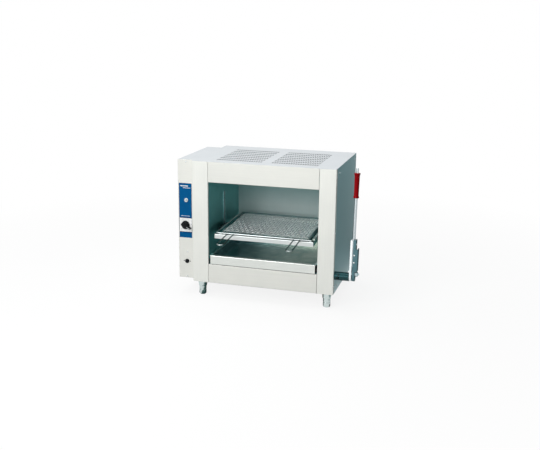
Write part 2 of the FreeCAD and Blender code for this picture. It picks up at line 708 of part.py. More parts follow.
# ---- carriage: sliders, rails, net ----
def build_carriage():
    rod = bar((guide_x, lift_y, pad_thickness), (guide_x, lift_y, guide_top), guide_radius)
    nodes["guide_rods"] = Part.Compound(both_sides(rod))
    shelf = folded([(sheet, guide_top + 20), (sheet, guide_top), (50, guide_top)], "y",
                   lift_y - 20, lift_y + 20, 3, 2)
    pad = block(guide_x - 16, guide_x + 20, lift_y - 16, lift_y + 16, sheet, pad_thickness)
    nodes["guide_brackets"] = Part.Compound(both_sides(shelf) + both_sides(pad))

    plate = block(plate_left, plate_right, lift_y - 13, lift_y + 13, 8, 212)
    cheeks = [block(guide_x - 10, plate_left, lift_y - 12, lift_y + 12, z0, z1)
              for z0, z1 in carrier_heights]
    bores = [bar((guide_x, lift_y, z0 - 1), (guide_x, lift_y, z1 + 1), slider_bush_radius)
             for z0, z1 in carrier_heights]
    slider = union([plate] + cheeks).cut(bores)
    nodes["sliders"] = Part.Compound(both_sides(slider))
    bushes = [tube((guide_x, lift_y, z0), (guide_x, lift_y, z1), slider_bush_radius, guide_bore)
              for z0, z1 in carrier_heights]
    nodes["slider_bushes"] = Part.Compound(bushes + [mirrored(one) for one in bushes])
    pin = bar((arm_x - 1.5, lift_y, lift_low), (24, lift_y, lift_low), pin_radius)
    nodes["lift_pins"] = Part.Compound(both_sides(pin))
    neck = block(plate_right, rail_left - 16, lift_y - 4, lift_y + 4, bracket_low, bracket_high)
    foot = block(rail_left - 16, rail_left, 110, 216, bracket_low, bracket_high)
    nodes["lift_brackets"] = Part.Compound(both_sides(union([neck, foot])))

    front = folded([(rail_front, rail_bottom), (rail_front, rail_top),
                    (rail_front + rail_flange, rail_top)][::-1], "x", rail_left, rail_right,
                   rail_sheet, 1)
    rear = front.mirror(Vector(0, (rail_front + rail_rear) / 2, 0), Vector(0, 1, 0))
    side = block(rail_left, rail_left + rail_sheet, rail_front + rail_sheet + 1,
                 rail_rear - rail_sheet - 1, rail_bottom, rail_top + 3)
    side = side.cut([block(rail_left - 1, rail_left + 3, y0, y1, rail_top - rail_sheet,
                           rail_top + 4)
                     for y0, y1 in ((0, rail_front + rail_flange),
                                    (rail_rear - rail_flange, 400))])
    rests = block(net_left + 2, net_left + 12, rail_front + 12, rail_rear - 2, rail_top,
                  net_bottom)
    frame = [front, rear] + both_sides(side)
    frame += [rests, mirrored(rests, (net_left + net_right) / 2)]
    nodes["carriage_frame"] = Part.Compound([lean(one) for one in frame])


def build_net():
    bars = [block(net_left, net_right, net_front, net_front + net_bar, net_bottom, net_top),
            block(net_left, net_right, net_back - net_bar, net_back, net_bottom, net_top)]
    for x in (net_left, net_right - net_bar):
        bars.append(block(x, x + net_bar, net_front + net_bar, net_back - net_bar, net_bottom,
                          net_top))
    nodes["net_frame"] = Part.Compound([lean(one) for one in bars])

    wire_z = (net_bottom + net_top) / 2
    ends = (net_front + net_bar, net_back - net_bar)
    wires = []
    for i in range(long_wires):
        x = mesh_left + (mesh_right - mesh_left) * i / (long_wires - 1)
        wires.append(bar((x, ends[0], wire_z), (x, ends[1], wire_z), long_wire_radius))
    cross_z = wire_z + long_wire_radius + cross_wire_radius + 0.02
    for i in range(cross_wires):
        y = ends[0] + (ends[1] - ends[0]) * (i + 1) / (cross_wires + 1)
        wires.append(bar((mesh_left - 2, y, cross_z), (mesh_right + 2, y, cross_z),
                         cross_wire_radius))
    nodes["net_wires"] = Part.Compound([lean(one) for one in wires])

    handles = []
    top = net_bottom - handle_wire - 0.01
    start = net_front + net_bar
    for side in (-1, 1):
        x = middle + side * handle_centre
        bend_y = start - handle_reach
        corners = [Vector(x - handle_radius, start, top), Vector(x - handle_radius, bend_y, top),
                   Vector(x, bend_y - handle_radius, top), Vector(x + handle_radius, bend_y, top),
                   Vector(x + handle_radius, start, top)]
        path = Part.Wire([Part.makeLine(corners[0], corners[1]),
                          Part.Arc(corners[1], corners[2], corners[3]).toShape(),
                          Part.makeLine(corners[3], corners[4])])
        ring = Part.Wire(Part.makeCircle(handle_wire, corners[0], Vector(0, 1, 0)))
        loop = path.makePipeShell([ring], True, False)
        loop.rotate(Vector(0, start, net_bottom), Vector(1, 0, 0), handle_fall)
        handles.append(lean(loop))
    nodes["net_handles"] = Part.Compound(handles)


# ---- drip tray ----
def build_tray():
    right = body_width - tray_left
    floor = block(tray_left, right, 0, tray_back, tray_floor, tray_floor + sheet)
    sides = [block(tray_left, tray_left + sheet, 0, tray_back, tray_floor, tray_rim),
             block(right - sheet, right, 0, tray_back, tray_floor, tray_rim)]
    back = block(tray_left, right, tray_back - sheet, tray_back, tray_floor, tray_rim)
    rims = [block(tray_rim_left, tray_left + sheet, 24, tray_back, tray_rim - sheet, tray_rim),
            block(right - sheet, body_width - tray_rim_left, 24, tray_back, tray_rim - sheet,
                  tray_rim)]
    skirt = folded([(tray_fold, tray_rim), (0, tray_rim), (0, tray_bottom)], "x",
                   tray_front_left, body_width - tray_front_left)
    fold = block(tray_rim_left, body_width - tray_rim_left, sheet + 1, tray_fold,
                 tray_rim - sheet, tray_rim)
    nodes["drip_tray"] = union([floor, skirt, fold, back] + sides + rims)


# ---- build, move to the part's frame and export ----
def export():
    os.makedirs("parts", exist_ok=True)
    box = FreeCAD.BoundBox()
    for shape in nodes.values():
        box.add(shape.optimalBoundingBox(False))
    shift = Vector(-box.Center.x, -box.Center.y, -box.ZMin)
    for name in sorted(nodes):
        shape = nodes[name].copy()
        shape.translate(shift)
        if not shape.isValid():
            print("not valid:", name)
        shape.exportStep(os.path.join("parts", name + ".step"))
    print(len(nodes), "nodes; size", round(box.XLength, 2), round(box.YLength, 2),
          round(box.ZLength, 2), "shift", [round(value, 4) for value in shift])


fasteners = build_cabinet()
build_feet()
build_cavity()
fasteners += build_control_box()
nodes["panel_screws"] = Part.Compound(fasteners)
build_knob()
build_lift()
build_lever()
build_carriage()
build_net()
build_tray()
export()
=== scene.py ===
import math

import bmesh
import bpy
from mathutils import Matrix, Quaternion, Vector


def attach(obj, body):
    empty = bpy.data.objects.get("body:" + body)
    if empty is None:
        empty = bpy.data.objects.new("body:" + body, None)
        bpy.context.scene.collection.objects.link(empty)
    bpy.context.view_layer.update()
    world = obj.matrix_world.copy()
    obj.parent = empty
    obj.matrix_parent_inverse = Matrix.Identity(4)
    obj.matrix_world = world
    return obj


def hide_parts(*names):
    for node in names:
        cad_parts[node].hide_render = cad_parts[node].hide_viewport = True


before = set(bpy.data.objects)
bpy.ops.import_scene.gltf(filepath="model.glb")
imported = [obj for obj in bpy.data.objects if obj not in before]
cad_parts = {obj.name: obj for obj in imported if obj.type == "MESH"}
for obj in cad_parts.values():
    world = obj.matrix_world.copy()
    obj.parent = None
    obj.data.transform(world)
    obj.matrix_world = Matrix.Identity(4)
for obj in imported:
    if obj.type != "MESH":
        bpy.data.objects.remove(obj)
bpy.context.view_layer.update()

# pieces are laid out in millimetres from the cabinet's lower front left corner
cabinetCorner = Vector((-315.0, -153.9164, 63.0))


def at(x, y, z):
    return (cabinetCorner + Vector((x, y, z))) / 1000


def addObject(name, data):
    thing = bpy.data.objects.new(name, data)
    bpy.context.scene.collection.objects.link(thing)
    return thing


def meshFrom(name, shape):
    mesh = bpy.data.meshes.new(name)
    shape.to_mesh(mesh)
    shape.free()
    return mesh


# turns a camera or a lamp, which look along their own -Z, to face a direction
def facing(direction):
    return direction.to_track_quat("-Z", "Y")


# the camera stands to the right and a little above
cameraSpot = {"place": (1190.7, -2993.7, 1072.2), "turn": 15.976, "dip": 14.435,
              "roll": 0.655, "lens": 798.32 * 36 / 540}


def makeCamera(spot):
    data = bpy.data.cameras.new("camera")
    data.sensor_width = 36
    data.lens = spot["lens"]
    data.clip_start, data.clip_end = 0.05, 60
    camera = addObject("camera", data)
    turn, dip = math.radians(spot["turn"]), math.radians(spot["dip"])
    ahead = Vector((-math.sin(turn) * math.cos(dip), math.cos(turn) * math.cos(dip),
                    -math.sin(dip)))
    camera.rotation_mode = "QUATERNION"
    roll = Quaternion((0, 0, 1), math.radians(spot["roll"]))
    camera.rotation_quaternion = facing(ahead) @ roll
    camera.location = at(*spot["place"])
    bpy.context.scene.camera = camera


makeCamera(cameraSpot)
print("camera placed")


def newMaterial(name):
    material = bpy.data.materials.new(name)
    material.use_nodes = True
    tree = material.node_tree
    return material, tree, tree.nodes["Principled BSDF"]


def addNode(tree, kind, **settings):
    node = tree.nodes.new("ShaderNode" + kind)
    for key, value in settings.items():
        if hasattr(node, key):
            setattr(node, key, value)
        else:
            node.inputs[key].default_value = value
    return node


# how fine each even pattern is, in repeats to the metre
patternScales = {"clouds": 9, "paintedShades": 14, "mottling": 25, "ribs": 400}


def stretchedNoise(tree, scale, detail=4.0):
    coordinates = addNode(tree, "TexCoord")
    mapping = addNode(tree, "Mapping", Scale=scale)
    noise = addNode(tree, "TexNoise", Scale=1.0, Detail=detail, Roughness=0.6)
    tree.links.new(coordinates.outputs["Object"], mapping.inputs["Vector"])
    tree.links.new(mapping.outputs["Vector"], noise.inputs["Vector"])
    return noise.outputs["Fac"]


def evenNoise(tree, pattern, detail):
    return stretchedNoise(tree, (patternScales[pattern],) * 3, detail)


def mapRange(tree, source, start, end, low=0.0, high=1.0):
    node = addNode(tree, "MapRange")
    for name, value in (("From Min", start), ("From Max", end), ("To Min", low),
                        ("To Max", high)):
        node.inputs[name].default_value = value
    tree.links.new(source, node.inputs["Value"])
    return node.outputs["Result"]


# most of a noise texture's values lie in this span
noiseSpan = (0.3, 0.7)


def spread(tree, source, low, high):
    return mapRange(tree, source, *noiseSpan, low, high)


def shadeBetween(tree, source, first, last, span=noiseSpan):
    ramp = addNode(tree, "ValToRGB")
    for stop, position, color in zip(ramp.color_ramp.elements, span, (first, last)):
        stop.position = position
        stop.color = (*color, 1)
    tree.links.new(source, ramp.inputs["Fac"])
    return ramp.outputs["Color"]


def joinedBy(tree, operation, first, second):
    node = addNode(tree, "Math", operation=operation)
    tree.links.new(first, node.inputs[0])
    tree.links.new(second, node.inputs[1])
    return node.outputs[0]


def mixShaders(tree, share, first, second):
    mix = addNode(tree, "MixShader")
    tree.links.new(share, mix.inputs["Fac"])
    tree.links.new(first, mix.inputs[1])
    tree.links.new(second, mix.inputs[2])
    return mix.outputs["Shader"]


def multiply(tree, first, second):
    mix = addNode(tree, "Mix", data_type="RGBA", blend_type="MULTIPLY")
    mix.inputs[0].default_value = 1.0
    tree.links.new(first, mix.inputs[6])
    tree.links.new(second, mix.inputs[7])
    return mix.outputs[2]


def tint(color, factor):
    return tuple(min(1.0, channel * factor) for channel in color)


def softEdges(tree, radius):
    bevel = addNode(tree, "Bevel", samples=4, Radius=radius)
    return bevel.outputs["Normal"]


def bumpFrom(tree, source, shader, strength, distance, radius=0.0):
    bump = addNode(tree, "Bump", Strength=strength, Distance=distance)
    tree.links.new(source, bump.inputs["Height"])
    if radius:
        tree.links.new(softEdges(tree, radius), bump.inputs["Normal"])
    tree.links.new(bump.outputs["Normal"], shader.inputs["Normal"])


# painted shade: darkens a surface from none to full along each axis that is named,
# in millimetres from the cabinet's corner
def stained(tree, shadeEntry):
    coordinates = addNode(tree, "TexCoord")
    split = addNode(tree, "SeparateXYZ")
    tree.links.new(coordinates.outputs["Object"], split.inputs["Vector"])
    cover = None
    for axis, (shadeStart, shadeFull) in shadeEntry["ramps"].items():
        i = "XYZ".index(axis)
        amount = mapRange(tree, split.outputs[axis], at(shadeStart, shadeStart, shadeStart)[i],
                          at(shadeFull, shadeFull, shadeFull)[i])
        cover = joinedBy(tree, "MULTIPLY", cover, amount) if cover else amount
    patches = evenNoise(tree, "paintedShades", 5.0)
    shadedTone = shadeBetween(tree, patches, shadeEntry["dark"], shadeEntry["light"])
    mix = addNode(tree, "Mix", data_type="RGBA")
    tree.links.new(cover, mix.inputs[0])
    mix.inputs[6].default_value = (1, 1, 1, 1)
    tree.links.new(shadedTone, mix.inputs[7])
    return mix.outputs[2]


grainScales = {"x": (5, 700, 700), "y": (700, 5, 700), "z": (700, 700, 5),
               "even": (90, 90, 90)}


# rolled or brushed sheet: fine lines one way, and faint clouds where it has been wiped
def makeSteel(name, values):
    material, tree, shader = newMaterial(name)
    lines = stretchedNoise(tree, grainScales[values["grain"]])
    clouds = evenNoise(tree, "clouds", 3.0)
    color = values["color"]
    lineShade = shadeBetween(tree, lines, tint(color, 1 - values["contrast"]),
                             tint(color, 1 + values["contrast"]))
    cloudShade = shadeBetween(tree, clouds, (0.955, 0.96, 0.965), (1.0, 1.0, 1.0))
    shade = multiply(tree, lineShade, cloudShade)
    # painted shade: each listed ramp darkens the sheet's colour where it runs
    for shadeEntry in values.get("paintedShades", ()):
        shade = multiply(tree, shade, stained(tree, shadeEntry))
    tree.links.new(shade, shader.inputs["Base Color"])
    rough = values["roughness"]
    tree.links.new(spread(tree, lines, rough - 0.05, rough + 0.05), shader.inputs["Roughness"])
    shader.inputs["Metallic"].default_value = values["metallic"]
    shader.inputs["Coat Weight"].default_value = values.get("coat", 0.0)
    bumpFrom(tree, lines, shader, values.get("bump", 0.12), 0.00012, values["edge"])
    return material


# moulded or painted surface: a slight orange-peel texture
def makePlain(name, values):
    material, tree, shader = newMaterial(name)
    peel = stretchedNoise(tree, (values["peel"],) * 3, detail=2.0)
    clouds = evenNoise(tree, "mottling", 3.0)
    color = values["color"]
    tree.links.new(shadeBetween(tree, clouds, tint(color, 0.93), tint(color, 1.05)),
                   shader.inputs["Base Color"])
    rough = values["roughness"]
    tree.links.new(spread(tree, clouds, rough - 0.03, rough + 0.05), shader.inputs["Roughness"])
    shader.inputs["Coat Weight"].default_value = values.get("coat", 0.0)
    shader.inputs["Coat Roughness"].default_value = 0.08
    shader.inputs["Specular IOR Level"].default_value = values.get("gloss", 0.4)
    bumpFrom(tree, peel, shader, values.get("bump", 0.08), 0.0001, values["edge"])
    return material


steels = {
    "panelSteel": {"color": (0.735, 0.74, 0.695), "metallic": 0.45, "roughness": 0.42,
                   "grain": "x", "contrast": 0.025, "edge": 0.0008},
    "postSteel": {"color": (0.78, 0.79, 0.745), "metallic": 0.45, "roughness": 0.42,
                  "grain": "z", "contrast": 0.025, "edge": 0.0008},
    # painted shade: the top is a darker, bluer copy of the front's stainless
    "roofSteelPaintedShade": {"color": (0.625, 0.66, 0.685), "metallic": 0.45, "roughness": 0.40,
                  "grain": "x", "contrast": 0.03, "edge": 0.0006},
    # painted shade: the side panels are a darker, teal copy of the front's stainless
    "sideSteelPaintedShade": {"color": (0.445, 0.615, 0.63), "metallic": 0.8, "roughness": 0.36,
                  "grain": "z", "contrast": 0.04, "edge": 0.0008},
    "rearSteel": {"color": (0.66, 0.77, 0.76), "metallic": 0.2, "roughness": 0.45,
                  "grain": "z", "contrast": 0.02, "edge": 0.0006, "bump": 0.03,
                  # painted shadow: the back wall is darkened towards its top, where the header
                  # shades it
                  "paintedShades": [{"ramps": {"Z": (262.0, 350.0)},
                              "dark": (0.46, 0.64, 0.64), "light": (0.54, 0.72, 0.72)}]},
    # painted shade: the cavity walls, tray runners and guide brackets get a dark teal tone
    "wallSteelPaintedShade": {"color": (0.14, 0.49, 0.49), "metallic": 0.85, "roughness": 0.32,
                  "grain": "z", "contrast": 0.05, "edge": 0.0006, "bump": 0.05},
    "traySteel": {"color": (0.69, 0.715, 0.68), "metallic": 0.9, "roughness": 0.24,
                  "grain": "x", "contrast": 0.03, "edge": 0.0006,
                  # painted shade: the tray's inside is darker than its front, and darker still
                  # towards the left
                  "paintedShades": [{"ramps": {"Y": (1.0, 3.0), "Z": (117.5, 115.5)},
                              "dark": (0.36, 0.52, 0.48), "light": (1.0, 1.0, 0.94)},
                             {"ramps": {"Y": (1.0, 3.0), "Z": (117.5, 115.5),
                                        "X": (440.0, 130.0)},
                              "dark": (0.24, 0.46, 0.56), "light": (0.34, 0.58, 0.68)}]},
    "railSteel": {"color": (0.62, 0.65, 0.64), "metallic": 1.0, "roughness": 0.30,
                  "grain": "x", "contrast": 0.03, "edge": 0.0006},
    "zincSteel": {"color": (0.40, 0.50, 0.52), "metallic": 1.0, "roughness": 0.27,
                  "grain": "even", "contrast": 0.10, "edge": 0.0006},
    "rodSteel": {"color": (0.50, 0.55, 0.57), "metallic": 1.0, "roughness": 0.22,
                 "grain": "z", "contrast": 0.04, "edge": 0.0004},
    "netChrome": {"color": (0.72, 0.765, 0.76), "metallic": 1.0, "roughness": 0.20,
                  "grain": "even", "contrast": 0.05, "edge": 0.0},
    "rimChrome": {"color": (0.72, 0.765, 0.76), "metallic": 1.0, "roughness": 0.20,
                  "grain": "even", "contrast": 0.05, "edge": 0.0,
                  # painted dark reflection: the net rim is darkened towards the back of the
                  # cavity
                  "paintedShades": [{"ramps": {"Y": (40.0, 130.0)},
                              "dark": (0.10, 0.20, 0.21), "light": (0.16, 0.28, 0.28)}]},
    "weaveZinc": {"color": (0.96, 1.0, 0.99), "metallic": 0.35, "roughness": 0.34,
                  "grain": "even", "contrast": 0.06, "edge": 0.0},
    "handleChrome": {"color": (0.76, 0.79, 0.78), "metallic": 1.0, "roughness": 0.18,
                     "grain": "even", "contrast": 0.04, "edge": 0.0,
                     # painted dark reflection: the handle wires are darkened behind their tips,
                     # leaving the tips bright
                     "paintedShades": [{"ramps": {"Y": (-128.0, -112.0)},
                                 "dark": (0.14, 0.19, 0.19), "light": (0.22, 0.28, 0.28)}]},
    "footSteel": {"color": (0.60, 0.68, 0.67), "metallic": 1.0, "roughness": 0.20,
                  "grain": "even", "contrast": 0.06, "edge": 0.0008},
    "sheathSteel": {"color": (0.13, 0.14, 0.13), "metallic": 0.7, "roughness": 0.55,
                    "grain": "even", "contrast": 0.18, "edge": 0.0},
    "screwSteel": {"color": (0.66, 0.69, 0.69), "metallic": 1.0, "roughness": 0.25,
                   "grain": "even", "contrast": 0.05, "edge": 0.0},
    # painted shade: the lever's outer bar, bracket and lift shaft get a dark teal tone
    "leverSteelPaintedShade": {"color": (0.08, 0.155, 0.175), "metallic": 1.0, "roughness": 0.30,
                   "grain": "z", "contrast": 0.08, "edge": 0.0006},
    # painted highlight: the lever's inner bar is a lit, brighter copy of the lever steel
    "leverSteelPaintedLight": {"color": (0.84, 0.89, 0.90), "metallic": 0.8, "roughness": 0.28,
                   "grain": "z", "contrast": 0.04, "edge": 0.0006},
    # painted shade: the lever sleeve gets a near-black teal tone
    "sleeveSteelPaintedShade": {"color": (0.005, 0.040, 0.045), "metallic": 0.9, "roughness": 0.20,
                    "grain": "x", "contrast": 0.08, "edge": 0.0006, "coat": 0.25},
    # painted shade: the heat reflector behind the vents and the heater supports get a near-black
    # tone
    "darkSteelPaintedShade": {"color": (0.06, 0.065, 0.07), "metallic": 0.5, "roughness": 0.6,
                 "grain": "even", "contrast": 0.12, "edge": 0.0},
    "bronze": {"color": (0.48, 0.33, 0.16), "metallic": 1.0, "roughness": 0.4,
               "grain": "even", "contrast": 0.10, "edge": 0.0004},
}
plains = {
    "blackPaint": {"color": (0.018, 0.020, 0.022), "roughness": 0.45, "peel": 900,
                   "edge": 0.0005},
    "blackPlastic": {"color": (0.008, 0.009, 0.011), "roughness": 0.30, "peel": 1500,
                     "edge": 0.0004, "coat": 0.03, "gloss": 0.08},
    "redRubber": {"color": (0.30, 0.002, 0.005), "roughness": 0.42, "peel": 1200,
                  "edge": 0.0006, "gloss": 0.06},
    "labelBlue": {"color": (0.0, 0.098, 0.275), "roughness": 0.42, "peel": 2500,
                  "edge": 0.0002, "bump": 0.04, "gloss": 0.05},
    "dialWhite": {"color": (0.97, 0.98, 0.97), "roughness": 0.45, "peel": 2500,
                  "edge": 0.0002, "bump": 0.04},
    "markInk": {"color": (0.03, 0.04, 0.06), "roughness": 0.5, "peel": 2500,
                "edge": 0.0, "bump": 0.02},
    "ruleInk": {"color": (0.82, 0.85, 0.88), "roughness": 0.5, "peel": 2500,
                "edge": 0.0, "bump": 0.02},
    "borderInk": {"color": (0.012, 0.03, 0.11), "roughness": 0.45, "peel": 2500,
                  "edge": 0.0, "bump": 0.02, "gloss": 0.2},
    "greyPlastic": {"color": (0.36, 0.37, 0.37), "roughness": 0.55, "peel": 1200,
                    "edge": 0.0005},
}
paint = {name: makeSteel(name, values) for name, values in steels.items()}
paint.update({name: makePlain(name, values) for name, values in plains.items()})


def makeLens(values):
    material, tree, shader = newMaterial("lampLens")
    ribs = evenNoise(tree, "ribs", 1.0)
    tree.links.new(shadeBetween(tree, ribs, values["dark"], values["light"]),
                   shader.inputs["Base Color"])
    shader.inputs["Roughness"].default_value = 0.08
    shader.inputs["Transmission Weight"].default_value = values["clear"]
    shader.inputs["IOR"].default_value = 1.49
    shader.inputs["Coat Weight"].default_value = 0.5
    bumpFrom(tree, ribs, shader, 0.15, 0.0002)
    return material


paint["lampLens"] = makeLens({"dark": (0.62, 0.66, 0.68), "light": (0.90, 0.93, 0.95),
                              "clear": 0.35})

finishOf = {
    "panelSteel": "header_panel lower_panel control_front_panel control_rear_panel "
                  "back_panel bottom_panel",
    "postSteel": "left_post right_post",
    "roofSteelPaintedShade": "top_panel control_wrapper",
    "sideSteelPaintedShade": "left_side_panel right_side_panel",
    "rearSteel": "cavity_rear_wall",
    "wallSteelPaintedShade": "cavity_left_wall cavity_right_wall tray_runners guide_brackets",
    "darkSteelPaintedShade": "heat_reflector heater_supports",
    "traySteel": "drip_tray",
    "railSteel": "carriage_frame",
    "screwSteel": "panel_screws lever_fasteners",
    "zincSteel": "lever_nut lift_arms sliders lift_pins",
    "leverSteelPaintedShade": "lever_outer_bar lever_bracket lift_shaft",
    "leverSteelPaintedLight": "lever_inner_bar",
    "sleeveSteelPaintedShade": "lever_sleeve",
    "rodSteel": "lever_rod guide_rods",
    "netChrome": "net_frame pilot_lamp_bezel",
    "weaveZinc": "net_wires",
    "handleChrome": "net_handles",
    "footSteel": "foot_sleeves foot_front_left foot_front_right foot_rear_left "
                 "foot_rear_right",
    "sheathSteel": "heater_elements",
    "bronze": "shaft_bushes slider_bushes",
    # painted shade: the stop pin is black to stand for the dark hole it sits in
    "blackPaint": "lift_brackets bearing_stand stop_pin",
    "blackPlastic": "knob reset_bezel reset_button cable_gland rotary_switch reset_switch",
    "redRubber": "lever_grip",
    "labelBlue": "control_label",
    "dialWhite": "dial_plate",
    "greyPlastic": "terminal_block",
    "lampLens": "pilot_lamp_lens",
}
for finish, names in finishOf.items():
    for name in names.split():
        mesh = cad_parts[name].data
        mesh.materials.clear()
        mesh.materials.append(paint[finish])
print("materials made:", len(paint))


# new pieces are laid out in millimetres, as the cabinet is, then brought to the frame
toFrame = Matrix.Scale(0.001, 4) @ Matrix.Translation(cabinetCorner)


def leaning(y, z, degrees):
    centre = Vector((0, y, z))
    return (Matrix.Translation(centre) @ Matrix.Rotation(math.radians(degrees), 4, "X")
            @ Matrix.Translation(-centre))


# the carriage tips a little to the front, and the lever stands a little back
carriageLean = leaning(17, 208.5, 2.0)
leverLean = leaning(22, 77.5, -4.5)


def makePiece(name, shape, finish, body, nodes=(), lean=None, sharp=35):
    bmesh.ops.transform(shape, matrix=toFrame @ (lean or Matrix()), verts=shape.verts)
    mesh = meshFrom(name, shape)
    mesh.shade_smooth()
    mesh.set_sharp_from_angle(angle=math.radians(sharp))
    mesh.materials.append(paint[finish])
    piece = addObject(name, mesh)
    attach(piece, body)
    if nodes:
        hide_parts(*nodes)


# a turned part: an outline of (radius, height) points spun round an upright axis
def turned(outline, steps=40):
    shape = bmesh.new()
    verts = [shape.verts.new((radius, 0, height)) for radius, height in outline]
    edges = [shape.edges.new(pair) for pair in zip(verts, verts[1:])]
    bmesh.ops.spin(shape, geom=verts + edges, cent=(0, 0, 0), axis=(0, 0, 1),
                   angle=math.tau, steps=steps, use_merge=True)
    bmesh.ops.remove_doubles(shape, verts=shape.verts, dist=0.001)
    bmesh.ops.recalc_face_normals(shape, faces=shape.faces)
    return shape


def move(shape, matrix):
    bmesh.ops.transform(shape, matrix=matrix, verts=shape.verts)


def join(shapes):
    whole = bmesh.new()
    for shape in shapes:
        mesh = meshFrom("part", shape)
        whole.from_mesh(mesh)
        bpy.data.meshes.remove(mesh)
    return whole


def roundEdges(shape, edges, width, segments=2):
    bmesh.ops.bevel(shape, geom=edges, offset=width, offset_type="OFFSET", affect="EDGES",
                    segments=segments, profile=0.5, material=-1)


# the net: crimped wires woven over and under one another, in a flat rim
netValues = {"left": 127.0, "right": 475.0, "front": 26.0, "back": 330.0, "height": 217.0,
             "longWires": 33, "longRadius": 2.0, "longBend": 0.3,
             "crossWires": 12, "crossRadius": 1.0, "crossBend": 2.4, "sides": 8,
             "stepsPerBend": 4, "tuck": 2.0}
rimValues = {"left": 105.0, "right": 501.0, "front": 10.0, "back": 346.0, "bar": 16.0,
             "bottom": 215.0, "top": 219.0, "round": 1.5}


# one wire along x that rises over every second wire it crosses, at the places given
def crimpedWire(radius, length, crossings, bend, sides, stepsPerBend):
    shape = bmesh.new()
    along = Matrix.Rotation(math.radians(90), 4, "Y")
    bmesh.ops.create_cone(shape, segments=sides, radius1=radius, radius2=radius, depth=length,
                          cap_ends=True, matrix=along)
    bmesh.ops.translate(shape, verts=shape.verts, vec=(length / 2, 0, 0))
    pitch = crossings[1] - crossings[0]
    cuts = round(length / pitch * stepsPerBend)
    long = [edge for edge in shape.edges if abs(edge.verts[0].co.x - edge.verts[1].co.x) > 1]
    bmesh.ops.subdivide_edges(shape, edges=long, cuts=cuts, use_grid_fill=True)
    straightEnd = crossings[0] * 0.8
    for vert in shape.verts:
        x = vert.co.x
        fade = min(1.0, x / straightEnd, (length - x) / straightEnd)
        vert.co.z += bend * math.cos(math.pi * (x - crossings[0]) / pitch) * max(0.0, fade)
    return shape


def repeated(shape, offset, count, flip):
    shapes = []
    for i in range(count):
        copy = shape.copy()
        if flip and i % 2:
            bmesh.ops.scale(copy, vec=(1, 1, -1), verts=copy.verts)
            bmesh.ops.recalc_face_normals(copy, faces=copy.faces)
        bmesh.ops.translate(copy, verts=copy.verts, vec=Vector(offset) * i)
        shapes.append(copy)
    shape.free()
    return join(shapes)


def makeNet(values):
    width, depth = values["right"] - values["left"], values["back"] - values["front"]
    crossPitch = depth / (values["crossWires"] + 1)
    longPitch = width / (values["longWires"] - 1)
    sides, steps, tuck = values["sides"], values["stepsPerBend"], values["tuck"]
    crossings = [tuck + crossPitch * (i + 1) for i in range(values["crossWires"])]
    long = crimpedWire(values["longRadius"], depth + 2 * tuck, crossings, values["longBend"],
                       sides, steps)
    long = repeated(long, (0, -longPitch, 0), values["longWires"], True)
    move(long, Matrix.Translation((values["left"], values["front"] - tuck, values["height"]))
         @ Matrix.Rotation(math.radians(90), 4, "Z"))
    reach = longPitch * 0.6
    crossings = [reach + longPitch * i for i in range(values["longWires"])]
    cross = crimpedWire(values["crossRadius"], width + 2 * reach, crossings,
                        -values["crossBend"], sides, steps)
    cross = repeated(cross, (0, crossPitch, 0), values["crossWires"], True)
    move(cross, Matrix.Translation((values["left"] - reach, values["front"] + crossPitch,
                                    values["height"])))
    makePiece("net_weave", join([long, cross]), "weaveZinc", "net",
              ["net_wires"], carriageLean, sharp=60)


# a flat rectangular ring, its middle at the origin and its underside at z = 0
def flatRing(width, depth, bar, thick, rounding):
    shape = bmesh.new()
    bmesh.ops.create_grid(shape, x_segments=1, y_segments=1, size=0.5)
    bmesh.ops.scale(shape, verts=shape.verts, vec=(width, depth, 1))
    bmesh.ops.inset_region(shape, faces=shape.faces[:], thickness=bar,
                           use_boundary=True, use_even_offset=True)
    middle = [face for face in shape.faces if face.calc_center_median().length < 1]
    bmesh.ops.delete(shape, geom=middle, context="FACES")
    pulled = bmesh.ops.extrude_face_region(shape, geom=shape.faces[:],
                                           use_keep_orig=True)["geom"]
    raised = [item for item in pulled if isinstance(item, bmesh.types.BMVert)]
    bmesh.ops.translate(shape, verts=raised, vec=(0, 0, thick))
    bmesh.ops.recalc_face_normals(shape, faces=shape.faces)
    roundEdges(shape, [edge for edge in shape.edges if edge.calc_face_angle(0) > 1.0],
               rounding, 3)
    return shape


def makeNetRim(values):
    width, depth = values["right"] - values["left"], values["back"] - values["front"]
    shape = flatRing(width, depth, values["bar"], values["top"] - values["bottom"],
                     values["round"])
    move(shape, Matrix.Translation(((values["left"] + values["right"]) / 2,
                                    (values["front"] + values["back"]) / 2, values["bottom"])))
    makePiece("net_rim", shape, "rimChrome", "net", ["net_frame"], carriageLean)


makeNet(netValues)
makeNetRim(rimValues)
print("net woven")

# the side walls' slots have a raised edge all round, which stiffens the sheet
edgingValues = {"leftWall": 68.0, "rightWall": 532.0, "middle": 200.0, "width": 14.4,
                "bottom": 194.8, "top": 353.2, "sheet": 1.2, "flange": 2.2, "round": 0.3}


def makeSlotEdging(values):
    edges = []
    height = values["top"] - values["bottom"]
    for wall, turn in ((values["leftWall"], 0), (values["rightWall"], 180)):
        edging = flatRing(height, values["width"], values["sheet"], values["flange"],
                          values["round"])
        move(edging, Matrix.Translation((wall, values["middle"], values["bottom"] + height / 2))
             @ Matrix.Rotation(math.radians(turn), 4, "Z")
             @ Matrix.Rotation(math.radians(90), 4, "Y"))
        edges.append(edging)
    makePiece("slot_edging", join(edges), "zincSteel", "cabinet")


makeSlotEdging(edgingValues)


# the lever's rubber grip, with a collar at each end
gripValues = {"x": 671.0, "y": 22.0, "low": 397.0, "high": 496.0, "bore": 6.2,
              "lowCollar": 11.2, "highCollar": 12.4, "waist": 9.5, "neck": 10.4}


